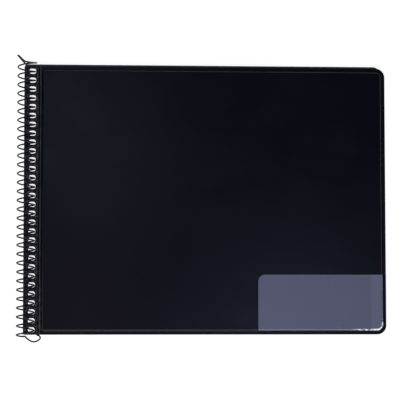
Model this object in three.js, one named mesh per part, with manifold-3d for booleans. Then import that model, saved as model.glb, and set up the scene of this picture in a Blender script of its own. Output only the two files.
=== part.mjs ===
// A landscape music folder: two board-stiffened vinyl covers and a block of clear sleeves, threaded on one
// black coated wire coil, with a clear name pocket welded into the lower right corner of the front cover.
// Millimetres. The folder lies closed on its back cover, coil along -X, front cover up, top edge towards +Y.
import * as THREE from 'three';
import { mergeVertices } from 'three/addons/utils/BufferGeometryUtils.js';
import Module from 'manifold-3d';

// Covers
const COVER_WIDTH = 259;
const COVER_HEIGHT = 191.5;
const COVER_CORNER = 6.5;
const SPINE_CORNER = 1.0;
const VINYL = 0.35;
const BOARD = 1.5;
const LAYER_GAP = 0.05;
const EDGE_WELD = 2.2;
const PANEL_SLOPE = 1.3;
const BOARD_PLAY = 0.15;

// Binding strip: its punched holes and the double weld that shuts the board pocket
const STRIP_WIDTH = 13.2;
const WELD_GROOVE = 0.7;
const WELD_RIDGE = 0.7;
const WELD_DEPTH = 0.12;
const WELD_TO_PANEL = 0.3;
const HOLE_WIDTH = 4.9;
const HOLE_HEIGHT = 4.7;
const HOLE_CORNER = 1.1;
const HOLE_CHORDS = 2;
const SLEEVE_HOLE_CHORDS = 1;
const HOLE_FROM_SPINE = 5.85;
const FIRST_HOLE_FROM_TOP = 4.4;

// Sleeves
const SLEEVE_COUNT = 12;
const SLEEVE_PITCH = 0.2;
const SLEEVE_SLIT = 0.05;
const SLIT_DEPTH = 1.6;
const SLEEVE_RISE = 1.4;
const SLEEVE_FOOT_INSET = 1.2;
const SLEEVE_SPINE_INSET = 0.4;
const SLEEVE_SIDE_INSET = 2.0;

// Name pocket
const POCKET_WIDTH = 92;
const POCKET_HEIGHT = 43.5;
const POCKET_CORNER = 4.8;
const POCKET_FILM = 0.2;

// Wire coil
const COIL_PITCH = 6.35;
const HOLE_COUNT = Math.floor(COVER_HEIGHT / COIL_PITCH);
const COIL_DIAMETER = 13.4;
const WIRE = 1.05;
const COIL_AXIS_FROM_SPINE = 1.65;
const COIL_STEPS_PER_TURN = 16;
const WIRE_SIDES = 6;

// How far above each layer's hole centres the wire crosses it, so that the cover can turn without jamming
const WIRE_ABOVE_FRONT_HOLES = 0.35;
const WIRE_ABOVE_BACK_HOLES = -0.23;

const wasm = await Module();
wasm.setup();

// A closed three.js geometry as a solid that can be joined and cut.
function solid(geometry) {
  const bare = geometry.clone();
  bare.deleteAttribute('normal');
  bare.deleteAttribute('uv');
  const merged = mergeVertices(bare, 1e-5);
  return new wasm.Manifold(new wasm.Mesh({
    numProp: 3,
    vertProperties: new Float32Array(merged.attributes.position.array),
    triVerts: new Uint32Array(merged.index.array),
  }));
}

// A solid as a geometry again.
function geometryOf(form) {
  const mesh = form.getMesh();
  const geometry = new THREE.BufferGeometry();
  geometry.setAttribute('position', new THREE.BufferAttribute(new Float32Array(mesh.vertProperties), 3));
  geometry.setIndex(new THREE.BufferAttribute(new Uint32Array(mesh.triVerts), 1));
  geometry.computeVertexNormals();
  return geometry;
}

// A rectangle's outline, counter-clockwise, with one radius for each corner and `steps` chords round it.
function outline({ left, right, low, high }, [lowLeft, lowRight, highRight, highLeft], steps) {
  const corners = [
    [left, low, lowLeft, Math.PI],
    [right, low, lowRight, 1.5 * Math.PI],
    [right, high, highRight, 0],
    [left, high, highLeft, 0.5 * Math.PI],
  ];
  const inward = [[1, 1], [-1, 1], [-1, -1], [1, -1]];
  return corners.flatMap(([x, y, radius, start], i) => {
    const centre = [x + inward[i][0] * radius, y + inward[i][1] * radius];
    return Array.from({ length: steps + 1 }, (_, k) => {
      const angle = start + (k / steps) * 0.5 * Math.PI;
      return new THREE.Vector2(centre[0] + radius * Math.cos(angle), centre[1] + radius * Math.sin(angle));
    });
  });
}

// A closed form through level rings of equal point counts, listed from the lowest to the highest.
function loft(rings) {
  const count = rings[0].points.length;
  const position = rings.flatMap(({ points, z }) => points.flatMap((p) => [p.x, p.y, z]));
  const index = [];
  for (let level = 0; level + 1 < rings.length; level += 1) {
    for (let i = 0; i < count; i += 1) {
      const a = level * count + i;
      const b = level * count + ((i + 1) % count);
      index.push(a, b, b + count, a, b + count, a + count);
    }
  }
  const top = (rings.length - 1) * count;
  THREE.ShapeUtils.triangulateShape(rings[0].points, []).forEach(([a, b, c]) => index.push(a, c, b));
  THREE.ShapeUtils.triangulateShape(rings.at(-1).points, [])
    .forEach(([a, b, c]) => index.push(top + a, top + b, top + c));
  const geometry = new THREE.BufferGeometry();
  geometry.setAttribute('position', new THREE.Float32BufferAttribute(position, 3));
  geometry.setIndex(index);
  return solid(geometry);
}

const plate = (points, low, high) => loft([{ points, z: low }, { points, z: high }]);

// Plan of a cover, and of its raised panel with the sides drawn in by `inset`
const CORNER_CHORDS = 6;
const coverPlan = outline(
  { left: 0, right: COVER_WIDTH, low: 0, high: COVER_HEIGHT },
  [SPINE_CORNER, COVER_CORNER, COVER_CORNER, SPINE_CORNER],
  CORNER_CHORDS,
);
function panelPlan(inset) {
  const free = COVER_CORNER - EDGE_WELD - inset;
  const spine = SPINE_CORNER + PANEL_SLOPE * 2 - inset;
  return outline(
    {
      left: STRIP_WIDTH + inset,
      right: COVER_WIDTH - EDGE_WELD - inset,
      low: EDGE_WELD + inset,
      high: COVER_HEIGHT - EDGE_WELD - inset,
    },
    [spine, free, free, spine],
    CORNER_CHORDS,
  );
}

// Levels: every layer lies one gap above the one below
const PANEL_DEPTH = BOARD + LAYER_GAP + VINYL;
const COVER_THICKNESS = PANEL_DEPTH + LAYER_GAP + VINYL;
const BACK_FLANGE = PANEL_DEPTH;
const SLEEVES_LOW = COVER_THICKNESS + LAYER_GAP;
const SLEEVES_HIGH = SLEEVES_LOW + SLEEVE_COUNT * SLEEVE_PITCH;
const FRONT_LOW = SLEEVES_HIGH + LAYER_GAP;
const FRONT_FLANGE = FRONT_LOW + VINYL + LAYER_GAP;

// Coil: y falls by one pitch for each turn over the top from the holes towards the spine
const COIL_RADIUS = (COIL_DIAMETER - WIRE) / 2;
const COIL_HEIGHT = COIL_DIAMETER / 2;
const angleAt = (z) => Math.asin((z - COIL_HEIGHT) / COIL_RADIUS);
const climb = (angle) => (-COIL_PITCH * angle) / (2 * Math.PI);
const FRONT_STRIP_MIDDLE = FRONT_LOW + VINYL + LAYER_GAP / 2;
const BACK_STRIP_MIDDLE = BACK_FLANGE + LAYER_GAP / 2;
const FIRST_FRONT_HOLE = COVER_HEIGHT - FIRST_HOLE_FROM_TOP;
const FIRST_TURN = FIRST_FRONT_HOLE + WIRE_ABOVE_FRONT_HOLES - climb(angleAt(FRONT_STRIP_MIDDLE));
const FIRST_BACK_HOLE = FIRST_TURN + climb(angleAt(BACK_STRIP_MIDDLE)) - WIRE_ABOVE_BACK_HOLES;

// Cuts the row of holes through one layer.
function punch(form, firstHole, low, high, chords = HOLE_CHORDS) {
  const margin = 1;
  const half = { x: HOLE_WIDTH / 2, y: HOLE_HEIGHT / 2 };
  let punched = form;
  for (let i = 0; i < HOLE_COUNT; i += 1) {
    const y = firstHole - i * COIL_PITCH;
    const box = {
      left: HOLE_FROM_SPINE - half.x,
      right: HOLE_FROM_SPINE + half.x,
      low: y - half.y,
      high: y + half.y,
    };
    const hole = outline(box, Array(4).fill(HOLE_CORNER), chords);
    punched = punched.subtract(plate(hole, low - margin, high + margin));
  }
  return punched;
}

// The outer vinyl: a flange on the cover's plan and a raised panel over the board. `out` is +1 where the
// panel stands up from the flange, as on the front cover, and -1 where it hangs down.
function outerVinyl(flange, out, firstHole) {
  const level = (depth) => flange + out * depth;
  const band = (points, from, to) => plate(points, Math.min(level(from), level(to)), Math.max(level(from), level(to)));
  const frustum = (wide, narrow, from, to) => {
    const rings = [{ points: wide, z: level(from) }, { points: narrow, z: level(to) }];
    return loft(out > 0 ? rings : rings.reverse());
  };
  const cavityDepth = BOARD + LAYER_GAP;
  let form = band(coverPlan, 0, VINYL).add(frustum(panelPlan(0), panelPlan(PANEL_SLOPE), 0, PANEL_DEPTH));
  form = form.subtract(frustum(panelPlan(VINYL), panelPlan(PANEL_SLOPE + VINYL), 0, cavityDepth));
  form = form.subtract(band(panelPlan(VINYL), -VINYL, 0));
  const grooves = [STRIP_WIDTH - WELD_TO_PANEL - WELD_GROOVE, STRIP_WIDTH - WELD_TO_PANEL - 2 * WELD_GROOVE - WELD_RIDGE];
  for (const left of grooves) {
    const box = { left, right: left + WELD_GROOVE, low: -1, high: COVER_HEIGHT + 1 };
    const run = outline(box, Array(4).fill(WELD_GROOVE / 4), 1);
    form = form.subtract(band(run, VINYL - WELD_DEPTH, 2 * VINYL));
  }
  const [low, high] = [Math.min(level(0), level(VINYL)), Math.max(level(0), level(VINYL))];
  return punch(form, firstHole, low, high);
}

// The flat inner vinyl, welded to the outer one round the edge.
const innerVinyl = (low, firstHole) => punch(plate(coverPlan, low, low + VINYL), firstHole, low, low + VINYL);

// The stiffening board, loose in its vinyl pocket.
const board = (low) => plate(panelPlan(PANEL_SLOPE + VINYL + BOARD_PLAY), low, low + BOARD);

// The sleeves: welded together along the spine, with a slit between them round the three free edges.
function sleeveBlock() {
  const plan = (inset) => outline(
    {
      left: SLEEVE_SPINE_INSET,
      right: COVER_WIDTH - SLEEVE_SIDE_INSET - inset,
      low: SLEEVE_FOOT_INSET + inset,
      high: COVER_HEIGHT + SLEEVE_RISE - inset,
    },
    [SPINE_CORNER, COVER_CORNER - inset, COVER_CORNER - inset, SPINE_CORNER],
    3,
  );
  const rings = [];
  for (let i = 0; i < SLEEVE_COUNT; i += 1) {
    const low = SLEEVES_LOW + i * SLEEVE_PITCH;
    const last = i === SLEEVE_COUNT - 1;
    const high = low + SLEEVE_PITCH - (last ? 0 : SLEEVE_SLIT);
    rings.push({ points: plan(0), z: low }, { points: plan(0), z: high });
    if (!last) rings.push({ points: plan(SLIT_DEPTH), z: high }, { points: plan(SLIT_DEPTH), z: low + SLEEVE_PITCH });
  }
  return punch(loft(rings), FIRST_BACK_HOLE, SLEEVES_LOW, SLEEVES_HIGH, SLEEVE_HOLE_CHORDS);
}

// The clear film of the name pocket: it follows the cover's face down to the edge weld on two sides.
function namePocket() {
  const over = (rise) => {
    const flange = FRONT_FLANGE + rise;
    return plate(coverPlan, flange, flange + VINYL).add(loft([
      { points: panelPlan(0), z: flange },
      { points: panelPlan(PANEL_SLOPE), z: flange + PANEL_DEPTH },
    ]));
  };
  const sheet = over(LAYER_GAP + POCKET_FILM).subtract(over(LAYER_GAP));
  const box = { left: COVER_WIDTH - POCKET_WIDTH, right: COVER_WIDTH + 10, low: -10, high: POCKET_HEIGHT };
  const film = outline(box, [1, 1, 1, POCKET_CORNER], CORNER_CHORDS);
  const lowest = FRONT_FLANGE + VINYL + LAYER_GAP;
  return sheet.intersect(plate(film, lowest, FRONT_FLANGE + 2 * PANEL_DEPTH));
}

// The wire's route: its bent end above the top edge, the coil, and the open loop below the bottom edge.
function wireRoute() {
  const onCoil = (turns) => {
    const angle = 2 * Math.PI * turns;
    return new THREE.Vector3(
      COIL_AXIS_FROM_SPINE + COIL_RADIUS * Math.cos(angle),
      FIRST_TURN + climb(angle),
      COIL_HEIGHT + COIL_RADIUS * Math.sin(angle),
    );
  };
  // In coil diameters from the corner of the covers at the spine: x from the spine, y from the top or bottom edge
  const at = (x, y, z) => new THREE.Vector3(x, y, z).multiplyScalar(COIL_DIAMETER);
  const topEnd = [
    [0.046, 0.177, 0.738],
    [-0.092, 0.300, 0.569],
    [-0.323, 0.523, 0.400],
    [-0.346, 0.569, 0.362],
    [-0.315, 0.554, 0.323],
    [-0.115, 0.377, 0.223],
    [0.077, 0.300, 0.123],
    [0.385, 0.231, 0.154],
    [0.631, 0.177, 0.338],
  ].map(([x, y, z]) => at(x, y, z).add(new THREE.Vector3(0, COVER_HEIGHT, 0)));
  const bottomLoop = [
    [0.115, -0.123, 0.046],
    [0.200, -0.223, 0.054],
    [0.354, -0.354, 0.077],
    [0.562, -0.415, 0.131],
    [0.785, -0.362, 0.200],
    [0.915, -0.223, 0.254],
    [0.869, -0.100, 0.292],
    [0.754, -0.062, 0.308],
  ].map(([x, y, z]) => at(x, y, z));
  const firstTurn = -0.95;
  const lastTurn = HOLE_COUNT - 1 + 0.68;
  const steps = Math.round((lastTurn - firstTurn) * COIL_STEPS_PER_TURN);
  const turns = Array.from({ length: steps + 1 }, (_, i) => onCoil(firstTurn + ((lastTurn - firstTurn) * i) / steps));
  return new THREE.CatmullRomCurve3([...topEnd, ...turns, ...bottomLoop], false, 'centripetal');
}

function spiralWire() {
  const route = wireRoute();
  route.arcLengthDivisions = route.points.length * 8;
  const section = new THREE.Shape(Array.from({ length: WIRE_SIDES }, (_, i) => {
    const angle = (2 * Math.PI * i) / WIRE_SIDES;
    return new THREE.Vector2((WIRE / 2) * Math.cos(angle), (WIRE / 2) * Math.sin(angle));
  }));
  return solid(new THREE.ExtrudeGeometry(section, {
    steps: route.points.length,
    extrudePath: route,
    bevelEnabled: false,
    curveSegments: 1,
  }));
}

const blackVinyl = new THREE.MeshStandardMaterial({ color: 0x14151c, roughness: 0.45, metalness: 0 });
const greyBoard = new THREE.MeshStandardMaterial({ color: 0x8a857c, roughness: 0.9, metalness: 0 });
const clearSleeve = new THREE.MeshStandardMaterial({ color: 0xc9d2dc, roughness: 0.2, metalness: 0 });
const clearFilm = new THREE.MeshStandardMaterial({
  color: 0x5d6078, roughness: 0.25, metalness: 0, transparent: true, opacity: 0.6,
});
const blackWire = new THREE.MeshStandardMaterial({ color: 0x101114, roughness: 0.3, metalness: 0.4 });

const folder = new THREE.Group();
function place(name, form, material) {
  const mesh = new THREE.Mesh(geometryOf(form), material);
  mesh.name = name;
  folder.add(mesh);
}
place('back_cover_outer_vinyl', outerVinyl(BACK_FLANGE, -1, FIRST_BACK_HOLE), blackVinyl);
place('back_cover_board', board(VINYL + LAYER_GAP), greyBoard);
place('back_cover_inner_vinyl', innerVinyl(BACK_FLANGE + LAYER_GAP, FIRST_BACK_HOLE), blackVinyl);
place('clear_sleeves', sleeveBlock(), clearSleeve);
place('front_cover_inner_vinyl', innerVinyl(FRONT_LOW, FIRST_FRONT_HOLE), blackVinyl);
place('front_cover_board', board(FRONT_FLANGE), greyBoard);
place('front_cover_outer_vinyl', outerVinyl(FRONT_FLANGE, 1, FIRST_FRONT_HOLE), blackVinyl);
place('name_pocket_film', namePocket(), clearFilm);
place('spiral_wire', spiralWire(), blackWire);

// The origin is the centre of the bottom of the folder's box
const box = new THREE.Box3().setFromObject(folder);
const middle = box.getCenter(new THREE.Vector3());
folder.position.set(-middle.x, -middle.y, -box.min.z);

export default folder;
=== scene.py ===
"""A landscape music folder.

Grained black vinyl covers, clear sleeves, a hazy name pocket and a black wire coil.
"""

import logging
import math
from dataclasses import dataclass
from enum import Enum
from typing import Any

import bmesh
import bpy
import numpy as np
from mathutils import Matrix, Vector
from mathutils.geometry import tessellate_polygon

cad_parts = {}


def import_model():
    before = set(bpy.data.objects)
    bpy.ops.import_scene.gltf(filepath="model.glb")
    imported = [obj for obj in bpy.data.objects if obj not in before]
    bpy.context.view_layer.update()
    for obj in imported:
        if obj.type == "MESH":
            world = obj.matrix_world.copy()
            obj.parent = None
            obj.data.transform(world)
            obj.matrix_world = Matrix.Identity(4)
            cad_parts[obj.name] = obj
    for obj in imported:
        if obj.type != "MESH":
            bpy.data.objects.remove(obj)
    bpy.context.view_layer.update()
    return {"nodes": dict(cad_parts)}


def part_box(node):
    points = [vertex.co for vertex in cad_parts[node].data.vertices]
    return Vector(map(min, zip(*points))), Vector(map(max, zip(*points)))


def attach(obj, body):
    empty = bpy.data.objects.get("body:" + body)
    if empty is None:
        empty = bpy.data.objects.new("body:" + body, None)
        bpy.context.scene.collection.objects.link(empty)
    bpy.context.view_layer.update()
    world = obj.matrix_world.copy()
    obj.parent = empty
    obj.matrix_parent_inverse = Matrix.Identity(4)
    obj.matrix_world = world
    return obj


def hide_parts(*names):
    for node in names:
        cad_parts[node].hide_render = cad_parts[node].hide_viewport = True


LOG = logging.getLogger("music_folder")
MM = 0.001
DOUBLES = 0.002 * MM
SLIVERS = 0.0001 * MM
TINY_RADIUS = 0.01 * MM
SKIN = 0.35 * MM
PANEL_SLOPE = 1.55 * MM
FRONT_FIRST_HOLE = 187.1 * MM
BACK_FIRST_HOLE = 188.3212 * MM


class Body(Enum):
    """The moving bodies of the folder."""

    BACK = "back"
    FRONT = "front"
    COIL = "coil"


class Slot(Enum):
    """The record's material slots."""

    VINYL = "black_vinyl"
    SLEEVE = "clear_sleeve"
    FILM = "clear_film"
    WIRE = "black_coated_wire"


class Side(Enum):
    """Which way a cover's raised panel stands from its flange."""

    UP = 1
    DOWN = -1


# Shader maths


@dataclass
class Sock:
    """A shader socket or number that can be used in ordinary expressions."""

    shop: "Shader"
    link: Any

    def _math(self, operation: str, *others: Any) -> "Sock":
        """Adds one Math node.

        Args:
            operation: the Math node's operation.
            others: the other operands, as sockets or numbers.

        Returns:
            The node's value.
        """
        return self.shop.node("ShaderNodeMath", {"operation": operation}, [self, *others])

    def __add__(self, other: Any) -> "Sock":
        """Sum."""
        return self._math("ADD", other)

    def __radd__(self, other: Any) -> "Sock":
        """Sum with a number on the left."""
        return self._math("ADD", other)

    def __sub__(self, other: Any) -> "Sock":
        """Difference."""
        return self._math("SUBTRACT", other)

    def __rsub__(self, other: Any) -> "Sock":
        """Difference with a number on the left."""
        return self.shop.node("ShaderNodeMath", {"operation": "SUBTRACT"}, [other, self])

    def __mul__(self, other: Any) -> "Sock":
        """Product."""
        return self._math("MULTIPLY", other)

    def __rmul__(self, other: Any) -> "Sock":
        """Product with a number on the left."""
        return self._math("MULTIPLY", other)

    def least(self, other: Any) -> "Sock":
        """The smaller of two values."""
        return self._math("MINIMUM", other)

    def most(self, other: Any) -> "Sock":
        """The larger of two values."""
        return self._math("MAXIMUM", other)

    def root(self) -> "Sock":
        """Square root."""
        return self._math("SQRT")

    def ramp(self, start: float, end: float, low: float = 0.0, high: float = 1.0) -> "Sock":
        """A smooth step: low below start, high above end.

        Args:
            start: where the step begins.
            end: where it ends.
            low: the value before it.
            high: the value after it.

        Returns:
            The stepped value.
        """
        settings = {"interpolation_type": "SMOOTHSTEP", "clamp": True}
        return self.shop.node("ShaderNodeMapRange", settings, [self, start, end, low, high])


class Shader:
    """A material's node tree with one way to add a node."""

    def __init__(self, name: str) -> None:
        """Starts an empty material.

        Args:
            name: the material's name.
        """
        self.material = bpy.data.materials.new(name)
        self.material.use_nodes = True
        self.tree = self.material.node_tree
        self.tree.nodes.clear()

    def node(self, kind: str, settings: dict[str, Any], values: Any, output: int | str = 0) -> Sock:
        """Adds a node, sets it up and feeds its sockets.

        Args:
            kind: the node's type.
            settings: its attributes, set first.
            values: its inputs, as a list in order or a dict by name; None leaves one alone.
            output: which output to return.

        Returns:
            The chosen output.
        """
        made = self.tree.nodes.new(kind)
        for key, value in settings.items():
            setattr(made, key, value)
        pairs = values.items() if isinstance(values, dict) else enumerate(values)
        for key, value in pairs:
            if value is None:
                continue
            if isinstance(value, Sock):
                self.tree.links.new(value.link, made.inputs[key])
            else:
                made.inputs[key].default_value = value
        return Sock(self, made.outputs[output])

    def place(self) -> Sock:
        """The point on the object, in metres."""
        return self.node("ShaderNodeTexCoord", {}, [], "Object")

    def axes(self) -> tuple[Sock, Sock, Sock]:
        """The point's x, y and z, in metres."""
        split = self.node("ShaderNodeSeparateXYZ", {}, [self.place()])
        outputs = split.link.node.outputs
        return Sock(self, outputs[0]), Sock(self, outputs[1]), Sock(self, outputs[2])

    def noise(
        self, size: float, detail: float = 2.0, rough: float = 0.5, stretch: tuple | None = None
    ) -> Sock:
        """Soft noise with features about `size` metres across.

        Args:
            size: the features' size.
            detail: how many finer layers it has.
            rough: how strong they are.
            stretch: scale along each axis, or None.

        Returns:
            The noise value, about 0.5 on average.
        """
        at = self.place()
        if stretch is not None:
            at = self.node("ShaderNodeMapping", {}, {"Vector": at, "Scale": stretch})
        values = {"Vector": at, "Scale": 1.0 / size, "Detail": detail, "Roughness": rough}
        return self.node("ShaderNodeTexNoise", {}, values)

    def pebbles(self, size: float) -> Sock:
        """Rounded cells about `size` metres across, as the distance from each cell's middle."""
        return self.node("ShaderNodeTexVoronoi", {}, {"Vector": self.place(), "Scale": 1.0 / size})

    def blend(self, factor: Any, first: Any, second: Any) -> Sock:
        """Mixes two colours by a factor."""
        made = self.tree.nodes.new("ShaderNodeMix")
        made.data_type = "RGBA"
        for key, value in ((0, factor), (6, first), (7, second)):
            if isinstance(value, Sock):
                self.tree.links.new(value.link, made.inputs[key])
            else:
                made.inputs[key].default_value = value if key == 0 else (*value, 1.0)
        return Sock(self, made.outputs[2])

    def bump(self, height: Sock, distance: float, strength: float = 1.0) -> Sock:
        """A Bump node for a height of 0 to 1 that stands for `distance` metres."""
        values = {"Height": height, "Distance": distance, "Strength": strength}
        return self.node("ShaderNodeBump", {}, values)

    def finish(self, **values: Any) -> bpy.types.Material:
        """Feeds a Principled surface and returns the material.

        Args:
            values: the surface's inputs, with underscores for spaces.

        Returns:
            The finished material.
        """
        named = {key.replace("_", " "): value for key, value in values.items()}
        colour = named.get("Base Color")
        if isinstance(colour, tuple):
            named["Base Color"] = (*colour, 1.0)
        surface = self.node("ShaderNodeBsdfPrincipled", {}, named)
        self._output(surface)
        return self.material

    def _output(self, surface: Sock) -> None:
        """Joins a surface to the material's output."""
        made = self.tree.nodes.new("ShaderNodeOutputMaterial")
        self.tree.links.new(surface.link, made.inputs["Surface"])


@dataclass(frozen=True)
class GrainedVinyl:
    """Satin black vinyl with a fine pebbled grain, a little cooler than neutral."""

    colour: tuple[float, float, float] = (0.0016, 0.0021, 0.0058)
    worn: tuple[float, float, float] = (0.0034, 0.0040, 0.0085)
    # Specks on the binding strip, and also the colour of the painted highlight along the weld.
    dust_and_highlight: tuple[float, float, float] = (0.125, 0.118, 0.132)
    grain: float = 0.42 * MM
    depth: float = 0.010 * MM
    smear_size: float = 45.0 * MM
    handling_size: float = 12.0 * MM
    spine: float = -126.977 * MM
    strip: float = 10.5 * MM
    strip_edge: float = 0.3 * MM
    weld_from: float = 10.3 * MM
    weld_to: float = 12.7 * MM
    # Where the painted highlight along the weld runs, measured from the spine.
    seam_highlight_from: float = 11.25 * MM
    seam_highlight_to: float = 12.15 * MM
    soft: float = 0.2 * MM

    def _band(self, at: Sock, start: float, end: float, soft_end: float) -> Sock:
        """1 between two distances and 0 outside them, with soft edges."""
        return at.ramp(start, start + self.soft) * (1 - at.ramp(end - soft_end, end))

    def make(self) -> bpy.types.Material:
        """Builds the material.

        Grain comes from cells and noise, smears show in colour and gloss, and the binding strip is
        specked, with a painted highlight beside it: a pale line along the weld.
        """
        shop = Shader("grained_black_vinyl")
        x, _, _ = shop.axes()
        from_spine = x - self.spine
        strip = 1 - from_spine.ramp(self.strip - self.strip_edge, self.strip)
        welded = self._band(from_spine, self.weld_from, self.weld_to, self.soft)
        # Painted highlight: a pale line along the weld beside the strip, in place of light caught by
        # the weld bead.
        seam_highlight = self._band(from_spine, self.seam_highlight_from, self.seam_highlight_to, 1.5 * self.soft)
        cells = shop.pebbles(self.grain)
        speck = shop.noise(self.grain * 0.6, 2.0, 0.6)
        coarse = shop.noise(self.grain * 3.2, 2.0, 0.6)
        smear = shop.noise(self.smear_size, 3.0, 0.55, (1.0, 1.7, 1.0))
        handled = shop.noise(self.handling_size, 2.0, 0.5)
        height = (1 - cells) * 0.7 + speck * 0.3
        colour = shop.blend((smear * 0.7 + speck * 0.3).ramp(0.35, 0.7), self.colour, self.worn)
        colour = shop.blend(strip * coarse.ramp(0.50, 0.62), colour, self.dust_and_highlight)
        # Painted highlight along the weld, broken up by noise.
        colour = shop.blend(seam_highlight * handled.ramp(0.3, 0.6, 0.35, 0.9), colour, self.dust_and_highlight)
        rough = smear.ramp(0.3, 0.7, 0.20, 0.25) + (handled - 0.5) * 0.04 - welded * 0.07
        return shop.finish(
            Base_Color=colour,
            Roughness=rough,
            IOR=1.45,
            Normal=shop.bump(height, self.depth),
        )


@dataclass(frozen=True)
class HazyFilm:
    """Clear film gone slightly blue and hazy, pressed clear where it is welded down."""

    haze: tuple[float, float, float] = (0.285, 0.300, 0.430)
    # The paler colour also carries the painted reflection and painted highlight bands.
    pale: tuple[float, float, float] = (0.50, 0.54, 0.70)
    welded: tuple[float, float, float] = (0.006, 0.006, 0.010)
    # The white of the painted glints near the lower right corner.
    glint_white: tuple[float, float, float] = (0.95, 0.96, 1.0)
    unlit: tuple[float, float, float] = (0.0, 0.0, 0.0)
    right: float = 132.023 * MM
    low: float = -96.661 * MM
    top: float = -54.061 * MM
    right_weld: float = 2.3 * MM
    low_weld: float = 2.9 * MM
    corner: float = 4.5 * MM
    soft: float = 0.3 * MM
    cloud_size: float = 30.0 * MM
    ripple_size: float = 1.2 * MM
    ripple: float = 0.006 * MM
    glint_break_size: float = 2.2 * MM

    def _inside(self, x: Sock, y: Sock) -> Sock:
        """Metres inside the weld line: a rectangle with one rounded corner, lower right."""
        across = (self.right - self.right_weld - self.corner) - x
        up = y - (self.low + self.low_weld + self.corner)
        over_x = (across * -1).most(0.0)
        over_y = (up * -1).most(0.0)
        round_part = (over_x * over_x + over_y * over_y).root()
        return self.corner - round_part + across.least(up).most(0.0)

    def make(self) -> bpy.types.Material:
        """Builds the material: hazy inside the welds, with a painted reflection as a paler band at
        the right, a painted highlight below the top edge, and painted white glints, set to glow, at
        the lower right corner.
        """
        shop = Shader("hazy_clear_film")
        x, y, _ = shop.axes()
        inside = self._inside(x, y)
        loose = inside.ramp(0.0, self.soft)
        cloud = shop.noise(self.cloud_size, 3.0, 0.55)
        fine = shop.noise(self.ripple_size, 2.0, 0.6)
        # Painted reflection: the film is paler in a band near the right edge, where its slope would
        # catch light.
        slope = 1 - (self.right - x).ramp(9.5 * MM, 12.5 * MM)
        rim = 1 - inside.ramp(self.soft, 3 * self.soft)
        # Painted highlight: paler just below the top edge.
        brim_highlight = 1 - (self.top - y).ramp(0.6 * MM, 1.4 * MM)
        paler = slope * 0.28 + rim * 0.35 + brim_highlight * 0.3 + (cloud - 0.5) * 0.3
        tint = shop.blend(paler.most(0.0), self.haze, self.pale)
        # Painted glints: white and glowing, near the lower right corner.
        glint_mask = self._painted_glints(shop, x, y, inside)
        tint = shop.blend(glint_mask, tint, self.glint_white)
        return shop.finish(
            Base_Color=shop.blend(loose, self.welded, tint),
            Roughness=cloud.ramp(0.3, 0.7, 0.16, 0.30),
            IOR=1.5,
            Alpha=0.55 + loose * 0.35,
            # The painted glints glow, so the film shines there though it is no lamp.
            Emission_Color=shop.blend(glint_mask, self.unlit, self.glint_white),
            Emission_Strength=0.5,
            Normal=shop.bump(fine, self.ripple),
        )

    def _painted_glints(self, shop: Shader, x: Sock, y: Sock, inside: Sock) -> Sock:
        """Painted glints: broken white streaks just inside the weld line, near the lower right
        corner.

        Args:
            shop: the material being built.
            x: the point's x.
            y: the point's y.
            inside: its distance inside the weld line.

        Returns:
            How strongly the painted glints show, 0 to 1.
        """
        nearby = 1 - (self.right - x).ramp(16.0 * MM, 26.0 * MM)
        nearby = nearby * (1 - (y - self.low).ramp(6.0 * MM, 13.0 * MM))
        glint_breaks = shop.noise(self.glint_break_size, 2.0, 0.6, (1.0, 2.0, 1.0)).ramp(0.42, 0.54)
        line = inside.ramp(-0.2 * MM, 0.1 * MM) * (1 - inside.ramp(0.8 * MM, 1.4 * MM))
        return nearby * glint_breaks * line


@dataclass(frozen=True)
class ClearSleeveFilm:
    """Clear polypropylene film: mostly seen through, with a soft grey cast and glossy faces."""

    colour: tuple[float, float, float] = (0.84, 0.87, 0.92)
    cloud_size: float = 50.0 * MM
    ripple_size: float = 1.5 * MM
    ripple: float = 0.2 * MM

    def make(self) -> bpy.types.Material:
        """Builds the material: low alpha, with faint ripples in gloss."""
        shop = Shader("clear_sleeve_film")
        cloud = shop.noise(self.cloud_size, 2.0, 0.5)
        fine = shop.noise(self.ripple_size, 2.0, 0.6)
        return shop.finish(
            Base_Color=self.colour,
            Roughness=cloud.ramp(0.3, 0.7, 0.10, 0.22),
            IOR=1.49,
            Alpha=0.03 + cloud * 0.04,
            Normal=shop.bump(cloud * 0.9 + fine * 0.1, self.ripple),
        )


@dataclass(frozen=True)
class CoatedWire:
    """Steel wire in a smooth black plastic coat."""

    colour: tuple[float, float, float] = (0.0012, 0.0012, 0.0016)
    scuffed: tuple[float, float, float] = (0.010, 0.010, 0.012)
    wave_size: float = 1.6 * MM
    wave_depth: float = 0.03 * MM
    scuff_size: float = 4.0 * MM

    def make(self) -> bpy.types.Material:
        """Builds the material: glossy, with slight waviness in the coat."""
        shop = Shader("black_coated_wire")
        wave = shop.noise(self.wave_size, 2.0, 0.5)
        scuff = shop.noise(self.scuff_size, 3.0, 0.6)
        return shop.finish(
            Base_Color=shop.blend(scuff.ramp(0.5, 0.8), self.colour, self.scuffed),
            Roughness=scuff.ramp(0.3, 0.75, 0.28, 0.44),
            IOR=1.5,
            Specular_IOR_Level=0.2,
            Normal=shop.bump(wave, self.wave_depth),
        )


@dataclass(frozen=True)
class Greyboard:
    """Plain grey bookbinding board, inside the vinyl."""

    colour: tuple[float, float, float] = (0.25, 0.24, 0.22)
    fleck: tuple[float, float, float] = (0.16, 0.15, 0.13)
    fibre_size: float = 0.9 * MM
    fibre_depth: float = 0.04 * MM

    def make(self) -> bpy.types.Material:
        """Builds the material: matte with fibre flecks."""
        shop = Shader("greyboard")
        fibre = shop.noise(self.fibre_size, 3.0, 0.65, (1.0, 3.0, 1.0))
        return shop.finish(
            Base_Color=shop.blend(fibre.ramp(0.45, 0.7), self.colour, self.fleck),
            Roughness=0.9,
            Normal=shop.bump(fibre, self.fibre_depth),
        )


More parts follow.
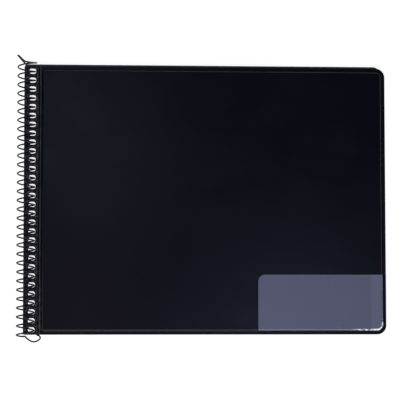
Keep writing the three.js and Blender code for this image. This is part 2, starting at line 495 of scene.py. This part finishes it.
@dataclass(frozen=True)
class WhiteSweep:
    """The white floor, lit so evenly that it shows almost no shadow."""

    colour: tuple[float, float, float] = (0.9, 0.9, 0.9)
    glow: float = 0.88
    mottle_size: float = 200.0 * MM

    def make(self) -> bpy.types.Material:
        """Builds the material."""
        shop = Shader("white_sweep")
        mottle = shop.noise(self.mottle_size, 2.0, 0.5)
        return shop.finish(
            Base_Color=self.colour,
            Roughness=mottle.ramp(0.3, 0.7, 0.85, 0.95),
            Emission_Color=(1.0, 1.0, 1.0, 1.0),
            Emission_Strength=self.glow,
        )


# Shapes


@dataclass(frozen=True)
class Plan:
    """A rectangle with one corner radius for each corner, in metres."""

    left: float
    right: float
    low: float
    high: float
    radii: tuple[float, float, float, float]
    chords: int = 10
    ticks: tuple[float, ...] = ()

    def loop(self, inset: float = 0.0) -> np.ndarray:
        """Outline drawn in by `inset`: each corner is a quarter circle about a fixed middle.

        Ticks are extra points along each side, at those distances from both of its ends.

        Args:
            inset: how far inside the plan, or outside if negative.

        Returns:
            Points counter-clockwise from the lower left corner, shape (n, 2).
        """
        radii = np.array(self.radii)
        held = np.maximum(radii, TINY_RADIUS)
        turned = np.maximum(held - inset, TINY_RADIUS)
        slack = held - inset - turned
        inward = np.array([[1, 1], [-1, 1], [-1, -1], [1, -1]], float)
        across = [self.left, self.right, self.right, self.left]
        along = [self.low, self.low, self.high, self.high]
        corner = np.array([across, along]).T
        middle = corner + inward * (held - slack)[:, None]
        start = np.radians([180.0, 270.0, 0.0, 90.0])
        sweep = np.linspace(0.0, math.pi / 2, self.chords + 1)
        angle = start[:, None] + sweep[None, :]
        arc = np.stack([np.cos(angle), np.sin(angle)], -1)
        corners = middle[:, None, :] + turned[:, None, None] * arc
        start, end = corners[:, -1:, :], np.roll(corners[:, :1, :], -1, 0)
        along = (end - start) / np.linalg.norm(end - start, axis=-1, keepdims=True)
        ticks = np.array(self.ticks)[None, :, None]
        sides = [corners, start + along * ticks, end - along * ticks[:, ::-1]]
        return np.concatenate(sides, 1).reshape(-1, 2)

    def rings(self, profile: np.ndarray) -> np.ndarray:
        """Level outlines for each (inset, height) of a profile, shape (rings, n, 3)."""
        flat = np.stack([self.loop(inset) for inset in profile[:, 0]])
        height = np.broadcast_to(profile[:, 1][:, None, None], (*flat.shape[:2], 1))
        return np.concatenate([flat, height], -1)


def round_over(start: tuple[float, float], end: tuple[float, float], steps: int = 4) -> np.ndarray:
    """A quarter-round profile: inset follows a sine and height a cosine from start to end.

    Args:
        start: (inset, height) where it leaves the flat.
        end: (inset, height) where it meets the wall.
        steps: how many chords.

    Returns:
        Profile points, shape (steps + 1, 2).
    """
    angle = np.linspace(0.0, math.pi / 2, steps + 1)
    inset = start[0] + (end[0] - start[0]) * np.sin(angle)
    height = end[1] + (start[1] - end[1]) * np.cos(angle)
    return np.stack([inset, height], -1)


class Draft:
    """Collects surfaces and turns them into one mesh object."""

    def __init__(self) -> None:
        """Starts empty."""
        self.points: list[np.ndarray] = []
        self.faces: list[tuple[int, ...]] = []
        self.count = 0

    def _add(self, points: np.ndarray, faces: np.ndarray | list) -> None:
        """Adds points and the faces between them."""
        shifted = [tuple(int(i) + self.count for i in face) for face in faces]
        self.points.append(points)
        self.faces.extend(shifted)
        self.count += len(points)

    def loft(self, rings: np.ndarray) -> None:
        """Joins closed rings by quads; point i of one ring goes to point i of the next.

        Args:
            rings: shape (rings, n, 3).
        """
        levels, n, _ = rings.shape
        row = np.arange(levels - 1)[:, None] * n
        i = np.arange(n)[None, :]
        j = (i + 1) % n
        quads = np.stack([row + i, row + j, row + n + j, row + n + i], -1).reshape(-1, 4)
        self._add(rings.reshape(-1, 3), quads)

    def cap(self, ring: np.ndarray) -> None:
        """Closes a flat ring with one face."""
        self._add(ring, [list(range(len(ring)))])

    def flat(self, loops: list[np.ndarray]) -> None:
        """Fills the flat area inside the first loop and outside the others.

        Args:
            loops: rings of shape (n, 3), the outer one first.
        """
        faces = tessellate_polygon([[Vector(p) for p in loop] for loop in loops])
        self._add(np.concatenate(loops), faces)

    def build(self, name: str, sharp: float = 40.0) -> bpy.types.Object:
        """Makes the object, with doubled points merged and faces turned outwards.

        Args:
            name: the piece's name.
            sharp: the angle in degrees past which an edge stays sharp.

        Returns:
            The new object.
        """
        mesh = bpy.data.meshes.new(name)
        mesh.from_pydata(np.concatenate(self.points).tolist(), [], self.faces)
        work = bmesh.new()
        work.from_mesh(mesh)
        bmesh.ops.remove_doubles(work, verts=work.verts, dist=DOUBLES)
        bmesh.ops.dissolve_degenerate(work, edges=work.edges, dist=SLIVERS)
        bmesh.ops.recalc_face_normals(work, faces=work.faces)
        work.to_mesh(mesh)
        work.free()
        mesh.shade_smooth()
        mesh.set_sharp_from_angle(angle=math.radians(sharp))
        made = bpy.data.objects.new(name, mesh)
        bpy.context.scene.collection.objects.link(made)
        return made


def dress(
    piece: bpy.types.Object, material: bpy.types.Material, body: Body, node: str
) -> None:
    """Gives a piece its finish and its place on the moving folder.

    Args:
        piece: the object.
        material: its material.
        body: the body it moves with.
        node: the solid it stands for.
    """
    piece.data.materials.append(material)
    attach(piece, body.value)
    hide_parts(node)
    LOG.info("%s: %d faces", piece.name, len(piece.data.polygons))


@dataclass(frozen=True)
class HoleRow:
    """The row of rounded square coil holes beside the spine."""

    count: int = 30
    pitch: float = 6.35 * MM
    width: float = 4.9 * MM
    height: float = 4.7 * MM
    corner: float = 1.6 * MM
    from_spine: float = 5.9 * MM
    rim: float = 0.14 * MM
    shelf: float = 0.05 * MM

    def plans(self, spine: float, first: float) -> list[Plan]:
        """The holes' plans from the first one down."""
        middle = spine + self.from_spine
        down = first - np.arange(self.count) * self.pitch
        left, right = middle - self.width / 2, middle + self.width / 2
        tall = self.height / 2
        radii = (self.corner,) * 4
        return [Plan(left, right, y - tall, y + tall, radii, 5) for y in down]


@dataclass(frozen=True)
class WeldLine:
    """A weld line along the spine: how far in it starts, how wide and how deep it is."""

    left: float
    width: float
    depth: float
    stop: float = 0.9 * MM


@dataclass
class Skin:
    """One vinyl skin: a flat sheet with coil holes, maybe with welds and a raised panel."""

    name: str
    outline: Plan
    first_hole: float
    under: float
    face: float
    holes: HoleRow
    panel: Plan | None = None
    rise: float = 0.0
    panel_wall: float = 0.0
    lip: float = 0.22 * MM
    shelf: float = 0.06 * MM
    welds: tuple["WeldLine", ...] = ()
    slope: float = PANEL_SLOPE

    def _out(self) -> float:
        """+1 where the outer face is above the under face, else -1."""
        return math.copysign(1.0, self.face - self.under)

    def panel_profile(self) -> np.ndarray:
        """The panel's side: height follows a smooth step of the inset, flat at both ends."""
        t = np.linspace(0.0, 1.0, 13)
        step = t * t * (3 - 2 * t)
        rows = np.stack([t * self.slope, self.face + self._out() * self.rise * step], -1)
        lead = np.array([[-self.shelf, self.face]])
        tail = np.array([[self.slope + self.shelf, self.face + self._out() * self.rise]])
        return np.concatenate([lead, rows, tail])

    def build(self) -> bpy.types.Object:
        """Builds the closed skin from its flat areas, lip, hole walls, welds and panel."""
        draft = Draft()
        out = self._out()
        edge = round_over((self.lip, self.face), (0.0, self.face - out * self.lip))
        lead = np.array([[self.lip + self.shelf, self.face]])
        outer = self.outline.rings(np.concatenate([lead, edge, [[0.0, self.under]]]))
        draft.loft(outer)
        top, bottom = [outer[0]], [outer[-1]]
        rim = self.holes.rim
        bend = round_over((-rim, self.face), (0.0, self.face - out * rim))
        lead = np.array([[-rim - self.holes.shelf, self.face]])
        hole_profile = np.concatenate([lead, bend, [[0.0, self.under]]])
        for plan in self.holes.plans(self.outline.left, self.first_hole):
            wall = plan.rings(hole_profile)
            draft.loft(wall)
            top.append(wall[0])
            bottom.append(wall[-1])
        for weld in self.welds:
            self._weld(draft, weld, top)
        if self.panel is not None:
            side = self.panel.rings(self.panel_profile())
            draft.loft(side)
            draft.cap(side[-1])
            top.append(side[0])
            self._cavity(draft, bottom)
        draft.flat(top)
        draft.flat(bottom)
        return draft.build(self.name)

    def _weld(self, draft: Draft, weld: WeldLine, top: list[np.ndarray]) -> None:
        """One weld line along the spine: a shallow trough, or a bead if its depth is negative.

        Args:
            draft: the skin's surfaces so far.
            weld: the line's place and section.
            top: the loops that bound the flat face.
        """
        left = self.outline.left + weld.left
        low, high = self.outline.low + weld.stop, self.outline.high - weld.stop
        plan = Plan(left, left + weld.width, low, high, (weld.width * 0.45,) * 4, 4)
        t = np.linspace(0.0, 1.0, 6)
        dip = (1 - np.cos(math.pi * t)) / 2
        rows = np.stack([t * weld.width * 0.44, self.face - self._out() * weld.depth * dip], -1)
        rings = plan.rings(np.concatenate([[[-self.shelf, self.face]], rows]))
        draft.loft(rings)
        draft.cap(rings[-1])
        top.append(rings[0])

    def _cavity(self, draft: Draft, bottom: list[np.ndarray]) -> None:
        """The hollow behind the panel, which holds the board."""
        out = self._out()
        wall = self.panel_wall
        roof = self.face + out * (self.rise - wall)
        rows = np.array([[wall, self.under], [self.slope, roof]])
        rings = self.panel.rings(rows)
        draft.loft(rings)
        draft.cap(rings[-1])
        bottom.append(rings[0])


@dataclass
class Cover:
    """A stiff cover: an outer skin with a raised panel, and a flat inner skin."""

    side: Side
    body: Body
    prefix: str
    vinyl: bpy.types.Material
    first_hole: float
    holes: HoleRow
    corner: float = 6.5 * MM
    spine_corner: float = 1.0 * MM
    strip: float = 12.4 * MM
    weld: float = 2.2 * MM
    panel_corner: float = 2.8 * MM
    panel_wall: float = 0.3 * MM
    inner_lip: float = 0.15 * MM
    inner_welds: float = 0.4
    welds: tuple[WeldLine, ...] = (
        WeldLine(10.45 * MM, 0.75 * MM, 0.20 * MM),
        WeldLine(11.35 * MM, 0.70 * MM, -0.14 * MM),
    )

    def _name(self, part: str) -> str:
        """The name of one of this cover's nodes."""
        return f"{self.prefix}_cover_{part}"

    def _shallow(self, weld: WeldLine) -> WeldLine:
        """The same weld line as the inner skin shows it."""
        return WeldLine(weld.left, weld.width, abs(weld.depth) * self.inner_welds)

    def outline(self) -> Plan:
        """The cover's plan, from its solid."""
        low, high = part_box(self._name("outer_vinyl"))
        radii = (self.spine_corner, self.corner, self.corner, self.spine_corner)
        return Plan(low[0], high[0], low[1], high[1], radii)

    def panel(self) -> Plan:
        """The raised panel's plan at its foot."""
        whole = self.outline()
        free = self.corner - self.weld
        return Plan(
            whole.left + self.strip,
            whole.right - self.weld,
            whole.low + self.weld,
            whole.high - self.weld,
            (self.panel_corner, free, free, self.panel_corner),
        )

    def build(self) -> None:
        """Builds and dresses both skins."""
        low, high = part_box(self._name("outer_vinyl"))
        total = high[2] - low[2]
        under = low[2] if self.side is Side.UP else high[2]
        out = float(self.side.value)
        outer = Skin(
            self._name("outer_skin"),
            self.outline(),
            self.first_hole,
            under,
            under + out * SKIN,
            self.holes,
            self.panel(),
            total - SKIN,
            self.panel_wall,
            welds=self.welds,
        )
        dress(outer.build(), self.vinyl, self.body, self._name("outer_vinyl"))
        low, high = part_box(self._name("inner_vinyl"))
        under, face = (high[2], low[2]) if self.side is Side.UP else (low[2], high[2])
        inner = Skin(
            self._name("inner_skin"),
            self.outline(),
            self.first_hole,
            under,
            face,
            self.holes,
            lip=self.inner_lip,
            welds=tuple(self._shallow(weld) for weld in self.welds),
        )
        dress(inner.build(), self.vinyl, self.body, self._name("inner_vinyl"))


@dataclass
class Sleeves:
    """Twelve clear sleeves, set in from the spine, that stick out a little above the covers."""

    film: bpy.types.Material
    first_hole: float
    holes: HoleRow
    count: int = 12
    thickness: float = 0.14 * MM
    corner: float = 6.5 * MM
    spine_corner: float = 1.0 * MM
    stagger: float = 0.12 * MM
    stagger_angle: float = 2.4
    set_in: float = 0.4 * MM

    def build(self) -> None:
        """Builds the sleeves as one piece; each is a flat sheet set off a little from the next."""
        low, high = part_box("clear_sleeves")
        pitch = (high[2] - low[2]) / self.count
        draft = Draft()
        radii = (self.spine_corner, self.corner, self.corner, self.spine_corner)
        offsets = np.sin(np.arange(self.count) * self.stagger_angle) * self.stagger
        for level, shift in enumerate(offsets):
            under = low[2] + level * pitch
            face = under + self.thickness
            drop = self.stagger + shift
            top_edge = high[1] - self.stagger + shift
            plan = Plan(low[0], high[0] - drop, low[1] + drop, top_edge, radii, 8)
            walls = np.array([[0.0, face], [0.0, under]])
            outer = plan.rings(walls)
            draft.loft(outer)
            top, bottom = [outer[0]], [outer[1]]
            for hole in self.holes.plans(low[0] - self.set_in, self.first_hole):
                wall = hole.rings(walls)
                draft.loft(wall)
                top.append(wall[0])
                bottom.append(wall[1])
            draft.flat(top)
            draft.flat(bottom)
        piece = draft.build("clear_sleeve_leaves")
        dress(piece, self.film, Body.BACK, "clear_sleeves")


@dataclass
class NamePocket:
    """The clear film pocket, lying on the panel and down over its edge to the welds."""

    film: bpy.types.Material
    cover: Cover
    corner: float = 4.8 * MM
    thickness: float = 0.16 * MM
    lift: float = 0.045 * MM
    short: float = 0.9 * MM
    square: float = 0.3 * MM
    edge: float = 0.06 * MM
    slope: float = PANEL_SLOPE

    def _height(self, at: np.ndarray) -> np.ndarray:
        """Height of the cover's face: a smooth step of the distance inside the panel's foot.

        Args:
            at: points, shape (..., 2).

        Returns:
            Heights, shape (...).
        """
        panel = self.cover.panel()
        radius = panel.radii[1]
        qx = at[..., 0] - (panel.right - radius)
        qy = (panel.low + radius) - at[..., 1]
        outside = np.hypot(np.maximum(qx, 0.0), np.maximum(qy, 0.0))
        inside = radius - outside - np.minimum(np.maximum(qx, qy), 0.0)
        t = np.clip(inside / self.slope, 0.0, 1.0)
        low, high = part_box("front_cover_outer_vinyl")
        flange = low[2] + SKIN
        return flange + (high[2] - flange) * t * t * (3 - 2 * t)

    def build(self) -> None:
        """Builds the film: top and underside over the same outline, closed at the edge."""
        low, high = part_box("name_pocket_film")
        outer = self.cover.outline()
        radii = (self.square, self.cover.corner, self.square, self.corner)
        ticks = tuple(np.linspace(0.15, 5.0, 26) * MM)
        plan = Plan(low[0], outer.right, outer.low, high[1] - self.short, radii, 10, ticks)
        near = np.linspace(0.0, 4.6, 24) * MM
        far = np.linspace(5.2, 12.0, 6) * MM
        insets = np.concatenate([near, far])
        draft = Draft()
        flat = np.stack([plan.loop(inset) for inset in insets])
        ground = self._height(flat)
        round_edge = np.clip(insets / self.edge, 0.0, 1.0)[:, None]
        top = ground + self.lift + self.thickness * (0.5 + 0.5 * round_edge)
        under = ground + self.lift
        upper = np.concatenate([flat, top[..., None]], -1)
        lower = np.concatenate([flat, under[..., None]], -1)
        draft.loft(upper)
        draft.loft(lower)
        draft.loft(np.stack([upper[0], lower[0]]))
        draft.cap(upper[-1])
        draft.cap(lower[-1])
        piece = draft.build("name_pocket_sheet", 50.0)
        dress(piece, self.film, Body.FRONT, "name_pocket_film")


@dataclass
class WireCoil:
    """The black coated wire: its bent end, thirty turns, and the open loop at the foot."""

    coat: bpy.types.Material
    pitch: float = 6.35
    diameter: float = 13.4
    wire: float = 1.15
    axis: float = 1.65
    cover_height: float = 191.5
    first_turn: float = 187.1978
    start_turn: float = -0.95
    end_turn: float = 29.68
    per_turn: int = 48
    sides: int = 16
    tip_rings: int = 5
    tip_start: float = 0.25
    end_samples: int = 8
    top_end: tuple[tuple[float, float, float], ...] = (
        (0.046, 0.085, 0.640),
        (-0.075, 0.235, 0.550),
        (-0.275, 0.475, 0.420),
        (-0.350, 0.560, 0.370),
        (-0.300, 0.550, 0.323),
        (-0.135, 0.400, 0.223),
        (-0.015, 0.305, 0.140),
        (0.150, 0.255, 0.123),
        (0.385, 0.215, 0.154),
        (0.631, 0.172, 0.338),
    )
    bottom_loop: tuple[tuple[float, float, float], ...] = (
        (0.105, -0.100, 0.046),
        (0.195, -0.190, 0.054),
        (0.354, -0.305, 0.077),
        (0.562, -0.370, 0.131),
        (0.785, -0.312, 0.200),
        (0.915, -0.173, 0.254),
        (0.869, -0.060, 0.292),
        (0.754, -0.020, 0.308),
    )

    def _helix(self) -> np.ndarray:
        """The coil: x and z go round a circle while y falls by one pitch a turn."""
        radius = (self.diameter - self.wire) / 2
        count = int(round((self.end_turn - self.start_turn) * self.per_turn)) + 1
        turn = np.linspace(self.start_turn, self.end_turn, count)
        angle = 2 * math.pi * turn
        x = self.axis + radius * np.cos(angle)
        y = self.first_turn - self.pitch * turn
        z = self.diameter / 2 + radius * np.sin(angle)
        return np.stack([x, y, z], -1)

    @staticmethod
    def _smooth(points: np.ndarray, steps: int) -> np.ndarray:
        """A centripetal Catmull-Rom curve: each span blends the lines of its neighbours.

        Args:
            points: shape (n, 3), the first and last used only for direction.
            steps: samples for each span.

        Returns:
            The curve from the second point to the last but one.
        """
        p0, p1, p2, p3 = points[:-3], points[1:-2], points[2:-1], points[3:]
        d1 = np.sqrt(np.linalg.norm(p1 - p0, axis=1))
        d2 = np.sqrt(np.linalg.norm(p2 - p1, axis=1))
        d3 = np.sqrt(np.linalg.norm(p3 - p2, axis=1))
        t0 = np.zeros_like(d1)
        t1, t2, t3 = d1, d1 + d2, d1 + d2 + d3
        u = np.linspace(0.0, 1.0, steps, endpoint=False)
        t = (t1[:, None] + d2[:, None] * u[None, :])[..., None]
        t0, t1, t2, t3 = (v[:, None, None] for v in (t0, t1, t2, t3))
        p0, p1, p2, p3 = (v[:, None, :] for v in (p0, p1, p2, p3))
        a1 = (t1 - t) / (t1 - t0) * p0 + (t - t0) / (t1 - t0) * p1
        a2 = (t2 - t) / (t2 - t1) * p1 + (t - t1) / (t2 - t1) * p2
        a3 = (t3 - t) / (t3 - t2) * p2 + (t - t2) / (t3 - t2) * p3
        b1 = (t2 - t) / (t2 - t0) * a1 + (t - t0) / (t2 - t0) * a2
        b2 = (t3 - t) / (t3 - t1) * a2 + (t - t1) / (t3 - t1) * a3
        curve = (t2 - t) / (t2 - t1) * b1 + (t - t1) / (t2 - t1) * b2
        return np.concatenate([curve.reshape(-1, 3), points[-2:-1]])

    def route(self) -> np.ndarray:
        """The wire's middle line in metres, in the folder's frame."""
        coil = self._helix()
        step = self.per_turn // 12
        top = np.array(self.top_end) * self.diameter + [0.0, self.cover_height, 0.0]
        foot = np.array(self.bottom_loop) * self.diameter
        before = 2 * top[0] - top[1]
        after = 2 * foot[-1] - foot[-2]
        many = self.end_samples
        lead = coil[0 : 2 * step : step]
        head = self._smooth(np.concatenate([[before], top, lead]), many)[: len(top) * many]
        lead = coil[-1 - 2 * step :: step]
        tail = self._smooth(np.concatenate([lead, foot, [after]]), many)[many + 1 :]
        whole = np.concatenate([head, coil, tail]) * MM
        low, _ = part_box("front_cover_outer_vinyl")
        return whole + np.array([low[0], low[1], 0.0])

    def build(self) -> None:
        """Builds the wire: a circle carried along the route, drawn in to blunt ends."""
        path = self.route()
        along = np.gradient(path, axis=0)
        along /= np.linalg.norm(along, axis=1, keepdims=True)
        side = np.cross(along, [0.0, 1.0, 0.0])
        side /= np.linalg.norm(side, axis=1, keepdims=True)
        across = np.cross(along, side)
        radius = self.wire * MM / 2
        n = self.tip_rings
        tip = np.linspace(self.tip_start, math.pi / 2, n)
        push = np.cos(tip)[:, None] * radius
        head = path[:1] - along[:1] * push
        foot = path[-1:] + along[-1:] * push[::-1]
        path = np.concatenate([head, path, foot])
        side = np.concatenate([np.repeat(side[:1], n, 0), side, np.repeat(side[-1:], n, 0)])
        across = np.concatenate([np.repeat(across[:1], n, 0), across, np.repeat(across[-1:], n, 0)])
        thin = np.sin(tip)
        size = np.concatenate([thin, np.ones(len(path) - 2 * n), thin[::-1]]) * radius
        angle = np.linspace(0.0, 2 * math.pi, self.sides, endpoint=False)
        cosine, sine = np.cos(angle)[None, :, None], np.sin(angle)[None, :, None]
        spoke = side[:, None] * cosine + across[:, None] * sine
        rings = path[:, None] + size[:, None, None] * spoke
        draft = Draft()
        draft.loft(rings)
        draft.cap(rings[0])
        draft.cap(rings[-1])
        dress(draft.build("coil_wire", 60.0), self.coat, Body.COIL, "spiral_wire")


# The studio


@dataclass(frozen=True)
class SoftLight:
    """One soft light that faces the folder: its place and size in metres, and its power in watts."""

    name: str
    at: tuple[float, float, float]
    size: tuple[float, float]
    power: float
    tint: tuple[float, float, float] = (1.0, 1.0, 1.0)

    def hang(self) -> None:
        """Hangs the light."""
        data = bpy.data.lights.new(self.name, "AREA")
        data.color = self.tint
        data.shape = "RECTANGLE"
        data.size, data.size_y = self.size
        data.energy = self.power
        light = bpy.data.objects.new(self.name, data)
        light.location = self.at
        light.rotation_euler = (-Vector(self.at)).to_track_quat("-Z", "Y").to_euler()
        bpy.context.scene.collection.objects.link(light)


@dataclass(frozen=True)
class Studio:
    """Camera, lights and floor of the photograph."""

    camera_at: tuple[float, float, float] = (-0.0719, -0.0810, 1.1934)
    camera_turn: tuple[float, float, float] = (3.859, -3.390, -0.021)
    view: float = 13.664
    near: float = 0.01
    floor_half: float = 4.0
    floor_drop: float = 0.02 * MM
    room: tuple[float, float, float, float] = (0.80, 0.82, 1.25, 1.0)
    room_strength: float = 0.09
    lights: tuple[SoftLight, ...] = (
        SoftLight("window_left", (-0.95, -0.45, 0.55), (0.8, 0.6), 4.4),
        SoftLight("window_front", (0.15, -1.05, 0.5), (1.1, 0.5), 3.6),
        SoftLight("sheen_left", (-0.12, 0.19, 1.35), (0.16, 0.28), 0.10, (0.60, 0.74, 1.0)),
        SoftLight("sheen_front", (0.17, -0.14, 1.35), (0.36, 0.14), 0.16, (0.50, 0.64, 1.0)),
        SoftLight("sheen_corner", (-0.12, -0.12, 1.35), (0.18, 0.14), 0.036, (1.0, 0.62, 0.88)),
    )

    def build(self) -> None:
        """Builds the studio."""
        self._camera()
        self._floor()
        for light in self.lights:
            light.hang()
        world = bpy.data.worlds.new("studio")
        world.use_nodes = True
        back = world.node_tree.nodes["Background"]
        back.inputs["Color"].default_value = self.room
        back.inputs["Strength"].default_value = self.room_strength
        bpy.context.scene.world = world
        bpy.context.scene.view_settings.view_transform = "Standard"

    def _camera(self) -> None:
        """Places the camera of the photograph."""
        data = bpy.data.cameras.new("camera")
        data.angle = math.radians(self.view)
        data.clip_start = self.near
        camera = bpy.data.objects.new("camera", data)
        camera.location = self.camera_at
        camera.rotation_euler = [math.radians(a) for a in self.camera_turn]
        bpy.context.scene.collection.objects.link(camera)
        bpy.context.scene.camera = camera

    def _floor(self) -> None:
        """Lays the white floor just under the folder."""
        draft = Draft()
        turns = np.array([[-1, -1], [1, -1], [1, 1], [-1, 1]]) * self.floor_half
        draft.cap(np.column_stack([turns, np.full(len(turns), -self.floor_drop)]))
        floor = draft.build("floor")
        floor.data.materials.append(WhiteSweep().make())


def main() -> None:
    """Builds the folder's pieces in order."""
    logging.basicConfig(level=logging.INFO, format="%(message)s")
    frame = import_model()
    vinyl = GrainedVinyl().make()
    board = Greyboard().make()
    for node in ("front_cover_board", "back_cover_board"):
        solid = frame["nodes"][node]
        solid.data.materials.clear()
        solid.data.materials.append(board)
    holes = HoleRow()
    low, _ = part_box("front_cover_outer_vinyl")
    front_first = low[1] + FRONT_FIRST_HOLE
    back_first = low[1] + BACK_FIRST_HOLE
    back = Cover(Side.DOWN, Body.BACK, "back", vinyl, back_first, holes)
    front = Cover(Side.UP, Body.FRONT, "front", vinyl, front_first, holes)
    back.build()
    Sleeves(ClearSleeveFilm().make(), back_first, holes).build()
    front.build()
    NamePocket(HazyFilm().make(), front).build()
    WireCoil(CoatedWire().make()).build()
    Studio().build()


if __name__ == "__main__":
    main()
